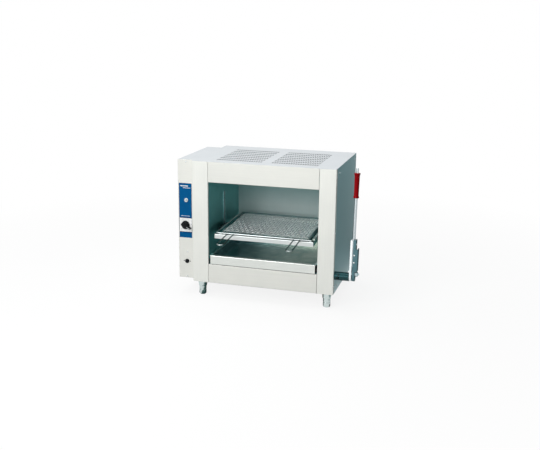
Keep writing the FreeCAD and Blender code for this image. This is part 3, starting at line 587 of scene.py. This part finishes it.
def makeGrip(values):
    low, high = values["low"], values["high"]
    lowCollar, highCollar = values["lowCollar"], values["highCollar"]
    bore, waist, neck = values["bore"], values["waist"], values["neck"]
    shape = turned([(bore, low), (lowCollar - 1.2, low), (lowCollar - 0.3, low + 0.4),
                    (lowCollar, low + 1.4), (lowCollar, low + 4.4), (lowCollar - 0.5, low + 5.6),
                    (waist + 0.4, low + 8.0), (waist, low + 10), (waist + 0.2, low + 40),
                    (neck - 0.2, high - 14), (neck, high - 9.5), (neck + 0.5, high - 7.6),
                    (highCollar - 0.4, high - 5.4), (highCollar, high - 4.2),
                    (highCollar, high - 1.4), (highCollar - 0.3, high - 0.4),
                    (highCollar - 1.2, high), (bore, high), (bore, low)])
    move(shape, Matrix.Translation((values["x"], values["y"], 0)))
    makePiece("grip_sleeve", shape, "redRubber", "lift_lever", ["lever_grip"],
              leverLean, sharp=50)


makeGrip(gripValues)


# the control knob: a round skirt and a grip bar that points, with a white line on its tip
knobValues = {"x": -36.0, "z": 238.0, "back": 12.1, "turn": -26.0, "skirt": 18.0,
              "ribs": 24, "ribSize": (0.7, 1.5, 4.2), "ribSunk": 0.55, "ribHeight": 3.2}
gripBar = {"size": (45.0, 12.0, 15.0), "centre": (7.5, 0, 12.4), "tipWidth": 0.58,
           "tipSlope": 1.2, "topWidth": 0.82, "shoulderAt": 15.0, "shoulderWidth": 1.22,
           "round": 1.5}
knobLine = {"from": 13.0, "to": 28.0, "width": 1.6, "thick": 0.4, "height": 19.85}


def facingFront(x, y, z, turn=0.0):
    return (Matrix.Translation((x, y, z)) @ Matrix.Rotation(math.radians(-turn), 4, "Y")
            @ Matrix.Rotation(math.radians(90), 4, "X"))


def block(size, centre=(0, 0, 0)):
    shape = bmesh.new()
    bmesh.ops.create_cube(shape, size=1)
    bmesh.ops.scale(shape, verts=shape.verts, vec=size)
    bmesh.ops.translate(shape, verts=shape.verts, vec=centre)
    return shape


def knobRibs(values):
    ribs = []
    for i in range(values["ribs"]):
        rib = block(values["ribSize"])
        roundEdges(rib, rib.edges[:], 0.3, 1)
        move(rib, Matrix.Rotation(math.tau * (i + 0.5) / values["ribs"], 4, "Z")
             @ Matrix.Translation((values["skirt"] - values["ribSunk"], 0,
                                   values["ribHeight"])))
        ribs.append(rib)
    return ribs


# the bar narrows towards its top, and past its shoulder towards its tip
def knobBar(values):
    bar = block(values["size"], values["centre"])
    for vert in bar.verts:
        high = vert.co.z > values["centre"][2]
        if vert.co.x > 0:
            vert.co.y *= values["tipWidth"]
            vert.co.x -= values["tipSlope"] if high else 0.0
        vert.co.y *= values["topWidth"] if high else 1.0
    shoulder = values["shoulderAt"]
    bmesh.ops.bisect_plane(bar, geom=bar.verts[:] + bar.edges[:] + bar.faces[:], dist=0.001,
                           plane_co=(shoulder, 0, 0), plane_no=(1, 0, 0))
    for vert in bar.verts:
        if abs(vert.co.x - shoulder) < 0.1:
            vert.co.y *= values["shoulderWidth"]
    roundEdges(bar, [edge for edge in bar.edges if edge.calc_face_angle(0) > 0.5],
               values["round"], 4)
    return bar


def makeKnob(values):
    skirt = values["skirt"]
    place = facingFront(values["x"], values["back"], values["z"], values["turn"])
    disc = turned([(0, 0), (skirt - 0.4, 0), (skirt, 0.5), (skirt - 0.2, 2.2),
                   (skirt - 1.1, 5.8), (skirt - 1.9, 6.8), (skirt - 3.0, 7.1), (13.2, 7.2),
                   (12.6, 7.8), (12.2, 10.8), (11.4, 11.7), (10.2, 12.0), (0, 12.0)], 64)
    shape = join([disc, knobBar(gripBar)] + knobRibs(values))
    move(shape, place)
    makePiece("knob_body", shape, "blackPlastic", "selector_knob", ["knob"])
    length = knobLine["to"] - knobLine["from"]
    line = block((length, knobLine["width"], knobLine["thick"]),
                 (knobLine["from"] + length / 2, 0, knobLine["height"]))
    roundEdges(line, line.edges[:], 0.12, 1)
    move(line, place)
    makePiece("knob_line", line, "ruleInk", "selector_knob")


makeKnob(knobValues)

# plain marks on the dial, numbered round the knob, and plain rules on the label
dialValues = {"x": -36.0, "z": 238.0, "face": 12.6, "radius": 25.3, "size": 5.2,
              "first": 225.0, "step": 54.0, "count": 6, "tickFrom": 19.6, "tickTo": 21.6,
              "tickWide": 0.5, "thick": 0.12}
# rules and borders are left, right, bottom, top
labelRules = [
    (-58.0, -24.0, 401.5, 405.5), (-46.0, -14.5, 394.5, 396.7), (-56.0, -17.0, 275.5, 277.1)]
dialBorders = [(-64.4, -8.5, 267.0, 271.0), (-64.4, -8.5, 206.0, 209.0),
               (-64.4, -63.2, 271.0, 413.8), (-9.7, -8.5, 271.0, 413.8),
               (-64.4, -8.5, 413.8, 415.0), (-64.4, -63.2, 183.0, 206.0),
               (-9.7, -8.5, 183.0, 206.0)]
dialEdge = (-64.4, -62.9, 209.0, 267.0)


def flatText(letters, size, raised):
    data = bpy.data.curves.new("number", "FONT")
    data.body = letters
    data.size = size
    data.align_x, data.align_y = "CENTER", "CENTER"
    data.extrude = raised
    data.resolution_u = 4
    text = bpy.data.objects.new("number", data)
    mesh = bpy.data.meshes.new_from_object(text)
    shape = bmesh.new()
    shape.from_mesh(mesh)
    bpy.data.objects.remove(text)
    bpy.data.curves.remove(data)
    bpy.data.meshes.remove(mesh)
    return shape


def thinPlate(left, right, bottom, top, face, thick=0.12):
    return block((right - left, thick, top - bottom),
                 ((left + right) / 2, face - thick / 2, (bottom + top) / 2))


def makeDialMarks(values):
    marks = []
    lettering = values["thick"] / 2
    for i in range(values["count"]):
        angle = math.radians(values["first"] - values["step"] * i)
        x = values["x"] + values["radius"] * math.cos(angle)
        z = values["z"] + values["radius"] * math.sin(angle)
        number = flatText(str(i), values["size"], lettering)
        move(number, facingFront(x, values["face"] - lettering, z))
        marks.append(number)
        length = values["tickTo"] - values["tickFrom"]
        tick = block((length, values["tickWide"], values["thick"]),
                     (values["tickFrom"] + length / 2, 0, values["thick"] / 2))
        move(tick, facingFront(values["x"], values["face"], values["z"], math.degrees(angle)))
        marks.append(tick)
    makePiece("dial_marks", join(marks), "markInk", "cabinet")


makeDialMarks(dialValues)
labelFace, dialFace, borderThick = 13.2, 12.6, 0.14
makePiece("label_rules", join([thinPlate(*rule, labelFace) for rule in labelRules]), "ruleInk",
          "cabinet")
borders = [thinPlate(*rule, labelFace, borderThick) for rule in dialBorders]
borders.append(thinPlate(*dialEdge, dialFace, borderThick))
makePiece("dial_borders", join(borders), "borderInk", "cabinet")

# the pilot lamp: a bright ring round a ribbed dome
lampValues = {"x": -32.5, "z": 344.0, "face": 13.2, "ring": 9.0, "dome": 6.6, "ribs": 12,
              "ribsAbove": 2.5, "ribDepth": 0.05}


def makeLamp(values):
    ring, dome = values["ring"], values["dome"]
    place = facingFront(values["x"], values["face"], values["z"])
    shape = turned([(4.6, -14), (5.9, -14), (5.9, 0), (ring, 0), (ring, 1.3),
                    (ring - 0.3, 2.3), (ring - 0.9, 2.9), (ring - 1.5, 3.0), (7.1, 2.7),
                    (7.0, 0.9), (4.6, 0.8), (4.6, -14)], 48)
    move(shape, place)
    makePiece("lamp_ring", shape, "netChrome", "cabinet", ["pilot_lamp_bezel"])
    shape = turned([(0, 1.0), (dome, 1.0), (dome, 3.0), (dome * 0.96, 3.9), (dome * 0.84, 4.8),
                    (dome * 0.62, 5.5), (dome * 0.36, 5.85), (0, 5.95)], values["ribs"] * 4)
    for vert in shape.verts:
        around = math.atan2(vert.co.y, vert.co.x)
        if vert.co.z > values["ribsAbove"]:
            dent = 0.5 + 0.5 * math.cos(values["ribs"] * around)
            ribbed = 1 - values["ribDepth"] * dent
            vert.co.x *= ribbed
            vert.co.y *= ribbed
    move(shape, place)
    makePiece("lamp_dome", shape, "lampLens", "cabinet", ["pilot_lamp_lens"],
              sharp=60)


makeLamp(lampValues)

# adjustable feet: a tapered sleeve, and a threaded insert with a band to turn it by
footValues = {"inset": 31.0, "width": 600.0, "depth": 424.0, "sleeve": 25.0, "topRadius": 20.0,
              "lowRadius": 17.2, "radius": 15.2, "floor": -63.0}


def makeFeet(values):
    top, low, height = values["topRadius"], values["lowRadius"], values["sleeve"]
    radius, floor = values["radius"], values["floor"]
    names = ["front_left", "front_right", "rear_left", "rear_right"]
    inset = values["inset"]
    places = [(x, y) for y in (inset, values["depth"] - inset)
              for x in (inset, values["width"] - inset)]
    sleeves = []
    for name, (x, y) in zip(names, places):
        sleeve = turned([(0, 0), (top - 0.5, 0), (top, -0.6), (top - 0.1, -4.0),
                         (low + 0.15, 3.0 - height), (low, 0.9 - height),
                         (low - 0.8, -height), (radius + 1.0, -height),
                         (radius + 0.15, 0.8 - height), (radius + 0.15, -5), (0, -5)], 56)
        move(sleeve, Matrix.Translation((x, y, 0)))
        sleeves.append(sleeve)
        insert = turned([(0, -6), (radius, -6), (radius, floor + 24), (radius - 1.1, floor + 23),
                         (radius - 1.1, floor + 21.4), (radius, floor + 20.4),
                         (radius, floor + 8.0), (radius - 0.6, floor + 5.0),
                         (radius - 2.2, floor + 2.4), (radius - 4.6, floor + 0.7),
                         (radius - 7.0, floor), (0, floor)], 48)
        move(insert, Matrix.Translation((x, y, 0)))
        makePiece("insert_" + name, insert, "footSteel", "foot_" + name + "_body",
                  ["foot_" + name], sharp=40)
    stud = turned([(0, -1), (6.1, -1), (6.1, 13.4), (5.5, 14), (0, 14)], 24)
    studs = []
    for x, y in places:
        copy = stud.copy()
        move(copy, Matrix.Translation((x, y, 0)))
        studs.append(copy)
    stud.free()
    makePiece("sleeve_set", join(sleeves + studs), "footSteel", "cabinet",
              ["foot_sleeves"], sharp=40)


makeFeet(footValues)
print("knob, dial, lamp and feet made")

# cross-recess screws: a dome with a four-pointed hole sunk in it
rightSide = [(600, 10, z) for z in (36, 255, 478)]
rightSide += [(600, y, z) for y in (60, 386) for z in (24, 490)]
leftSide = [(0, 386, z) for z in (24, 490)]
rearSide = [(x, 424, z) for x in (20, 300, 580) for z in (20, 494)]
controlFront = [(-32, 14, 505), (-32, 14, 14.5), (-30, 14, 122)]
resetEars = [(-45.5, 14, 81), (-18.5, 14, 81)]
screwValues = {"head": 4.0, "rise": 1.95, "shank": 2.0, "length": 8.0, "recess": 1.7,
               "recessDepth": 1.3, "crossShares": (1.0, 0.42, 0.36, 0.42), "sides": 16}


def oneScrew(values, scale=1.0):
    sides = values["sides"]
    head, rise, recess = values["head"], values["rise"], values["recess"]
    shape = bmesh.new()
    ring = bmesh.ops.create_circle(shape, cap_ends=False, segments=sides, radius=head)["verts"]
    around = list({edge for vert in ring for edge in vert.link_edges})
    steps = [(head * 0.97, 0.5), (head * 0.82, rise * 0.62), (head * 0.60, rise * 0.92),
             (recess, rise), (recess * 0.7, rise - values["recessDepth"])]
    for i, (radius, height) in enumerate(steps):
        pulled = bmesh.ops.extrude_edge_only(shape, edges=around)["geom"]
        ring = [item for item in pulled if isinstance(item, bmesh.types.BMVert)]
        around = [item for item in pulled if isinstance(item, bmesh.types.BMEdge)]
        for vert in ring:
            flat = Vector((vert.co.x, vert.co.y, 0)).normalized()
            share = 1.0
            if i >= 3:
                corner = round(math.atan2(flat.y, flat.x) / math.tau * sides) % 4
                share = values["crossShares"][corner]
            vert.co = flat * radius * share
            vert.co.z = height
    bmesh.ops.contextual_create(shape, geom=around)
    shank = bmesh.ops.create_cone(shape, segments=8, radius1=values["shank"],
                                  radius2=values["shank"], depth=values["length"],
                                  cap_ends=True)["verts"]
    bmesh.ops.translate(shape, verts=shank, vec=(0, 0, -values["length"] / 2))
    bmesh.ops.recalc_face_normals(shape, faces=shape.faces)
    bmesh.ops.scale(shape, verts=shape.verts, vec=(scale,) * 3)
    return shape


def screwsAt(places, outward, scale=1.0, twist=17.0):
    turnTo = Vector(outward).to_track_quat("Z", "Y").to_matrix().to_4x4()
    screws = []
    for i, place in enumerate(places):
        screw = oneScrew(screwValues, scale)
        move(screw, Matrix.Translation(place) @ turnTo
             @ Matrix.Rotation(math.radians(twist * (i + 1)), 4, "Z"))
        screws.append(screw)
    return screws


allScrews = screwsAt(rightSide, (1, 0, 0)) + screwsAt(leftSide, (-1, 0, 0))
allScrews += screwsAt(rearSide, (0, 1, 0)) + screwsAt(controlFront, (0, -1, 0), 0.9)
makePiece("screw_set", join(allScrews), "screwSteel", "cabinet",
          ["panel_screws"])
makePiece("ear_screws", join(screwsAt(resetEars, (0, -1, 0), 0.55)), "blackPaint", "cabinet")

# the lever's two bracket screws face the front, and its two rivets face the right
leverJoints = {"screwX": 678.5, "screwY": 3.0, "screwHeights": (141, 170),
               "rivetX": 682.5, "rivetY": 22.0, "rivetHeights": (150, 212)}


def makeLeverScrews(values):
    places = [(values["screwX"], values["screwY"], z) for z in values["screwHeights"]]
    fasteners = screwsAt(places, (0, -1, 0), 0.9)
    for height in values["rivetHeights"]:
        rivet = turned([(0, 2.0), (2.4, 1.9), (4.2, 1.2), (5.0, 0), (3.0, 0), (3.0, -21.4),
                        (4.4, -21.5), (4.2, -21.8), (0, -21.95)], 28)
        move(rivet, Matrix.Translation((values["rivetX"], values["rivetY"], height))
             @ Matrix.Rotation(math.radians(90), 4, "Y"))
        fasteners.append(rivet)
    makePiece("lever_screws", join(fasteners), "screwSteel", "lift_lever",
              ["lever_fasteners"], leverLean)


makeLeverScrews(leverJoints)
print("screws made")


# white paper that keeps the object's shadow near it
stageValues = {"floorRadius": 6.0, "sunk": 0.0005, "floorShade": 0.55, "floorWhite": 0.86,
               "fadeFrom": 0.7, "fadeTo": 2.2}


# 1 for what the camera sees, straight or in a reflection, and 0 for plain lighting
def seenDirectly(tree):
    rays = addNode(tree, "LightPath")
    total = rays.outputs["Is Camera Ray"]
    for name in ("Is Glossy Ray", "Is Transmission Ray"):
        total = joinedBy(tree, "MAXIMUM", total, rays.outputs[name])
    return total


def makeFloor(values):
    shape = bmesh.new()
    bmesh.ops.create_circle(shape, cap_ends=True, segments=64, radius=values["floorRadius"])
    bmesh.ops.translate(shape, verts=shape.verts, vec=(0, 0, -values["sunk"]))
    floor = addObject("floor", meshFrom("floor", shape))
    material, tree, shader = newMaterial("floorPaper")
    paper = mapRange(tree, seenDirectly(tree), 0.0, 1.0, values["floorShade"], 1.0)
    tree.links.new(paper, shader.inputs["Base Color"])
    shader.inputs["Roughness"].default_value = 0.9
    shader.inputs["Specular IOR Level"].default_value = 0.1
    white = addNode(tree, "Emission", Strength=1.0)
    coordinates = addNode(tree, "TexCoord")
    distance = addNode(tree, "VectorMath", operation="LENGTH")
    tree.links.new(coordinates.outputs["Object"], distance.inputs[0])
    fade = mapRange(tree, distance.outputs["Value"], values["fadeFrom"], values["fadeTo"],
                    values["floorWhite"], 1.0)
    share = joinedBy(tree, "MULTIPLY", seenDirectly(tree), fade)
    mixed = mixShaders(tree, share, shader.outputs["BSDF"], white.outputs["Emission"])
    tree.links.new(mixed, tree.nodes["Material Output"].inputs["Surface"])
    floor.data.materials.append(material)


worldValues = {"bright": (1.0, 1.0, 0.99), "shade": (0.08, 0.14, 0.15), "span": (0.45, 0.80),
               "strength": 0.45}


# white where a camera looks; for lighting it is bright at the left and dim at the right
def makeWorld(values):
    world = bpy.data.worlds.new("studio")
    bpy.context.scene.world = world
    world.use_nodes = True
    tree = world.node_tree
    background = tree.nodes["Background"]
    coordinates = addNode(tree, "TexCoord")
    split = addNode(tree, "SeparateXYZ")
    tree.links.new(coordinates.outputs["Generated"], split.inputs["Vector"])
    across = mapRange(tree, split.outputs["X"], -1.0, 1.0)
    light = shadeBetween(tree, across, values["bright"], values["shade"], values["span"])
    tree.links.new(light, background.inputs["Color"])
    background.inputs["Strength"].default_value = values["strength"]
    plain = addNode(tree, "Background", Color=(1, 1, 1, 1), Strength=1.0)
    mixed = mixShaders(tree, seenDirectly(tree), background.outputs["Background"],
                       plain.outputs["Background"])
    tree.links.new(mixed, tree.nodes["World Output"].inputs["Surface"])


lamps = {
    "keyLamp": {"place": (-1.3, -2.6, 2.0), "size": 1.6, "watts": 44},
    "topLamp": {"place": (-0.2, 0.1, 2.6), "size": 1.8, "watts": 30},
    "frontLamp": {"place": (-0.5, -3.1, 0.9), "size": 1.6, "watts": 12},
}


def makeLamps(values):
    for name, lamp in values.items():
        data = bpy.data.lights.new(name, "AREA")
        data.size = lamp["size"]
        data.energy = lamp["watts"]
        light = addObject(name, data)
        light.location = lamp["place"]
        light.rotation_mode = "QUATERNION"
        aim = Vector((0, 0.1, 0.25)) - light.location
        light.rotation_quaternion = facing(aim)


# dark cards out of view, which give metal its dark reflections
cards = {
    "rearCard": {"place": (1.10, 0.62, 0.6), "face": (-0.1, -1.0, 0), "size": (1.5, 1.4),
                 "color": (0.19, 0.31, 0.33)},
    "lowCard": {"place": (0.98, 0.25, 0.002), "face": (0, 0, 1), "size": (1.26, 0.9),
                "color": (0.19, 0.31, 0.33)},
    "underCard": {"place": (-0.015, 0.07, 0.001), "face": (0, 0, 1), "size": (0.62, 0.40),
                  "color": (0.015, 0.04, 0.04)},
    "footCard": {"place": (-0.07, -0.06, 0.0015), "face": (0, 0, 1), "size": (0.44, 0.26),
                 "color": (0.06, 0.15, 0.14)},
    "leftCard": {"place": (-1.8, 0.5, 0.5), "face": (1, -0.2, 0), "size": (2.2, 1.4),
                 "color": (0.03, 0.06, 0.065)},
}


def makeCards(values):
    for name, card in values.items():
        shape = bmesh.new()
        bmesh.ops.create_grid(shape, x_segments=1, y_segments=1, size=0.5)
        bmesh.ops.scale(shape, verts=shape.verts, vec=(*card["size"], 1))
        turn = Vector(card["face"]).to_track_quat("Z", "Y").to_matrix().to_4x4()
        bmesh.ops.transform(shape, verts=shape.verts,
                            matrix=Matrix.Translation(card["place"]) @ turn)
        board = addObject(name, meshFrom(name, shape))
        material, tree, shader = newMaterial(name + "Paper")
        shader.inputs["Base Color"].default_value = (*card["color"], 1)
        shader.inputs["Roughness"].default_value = 0.9
        board.data.materials.append(material)
        board.visible_camera = False
        board.visible_diffuse = False
        board.visible_shadow = False


makeFloor(stageValues)
makeCards(cards)
makeWorld(worldValues)
makeLamps(lamps)
bpy.context.scene.view_settings.view_transform = "Standard"
print("stage and lamps placed")
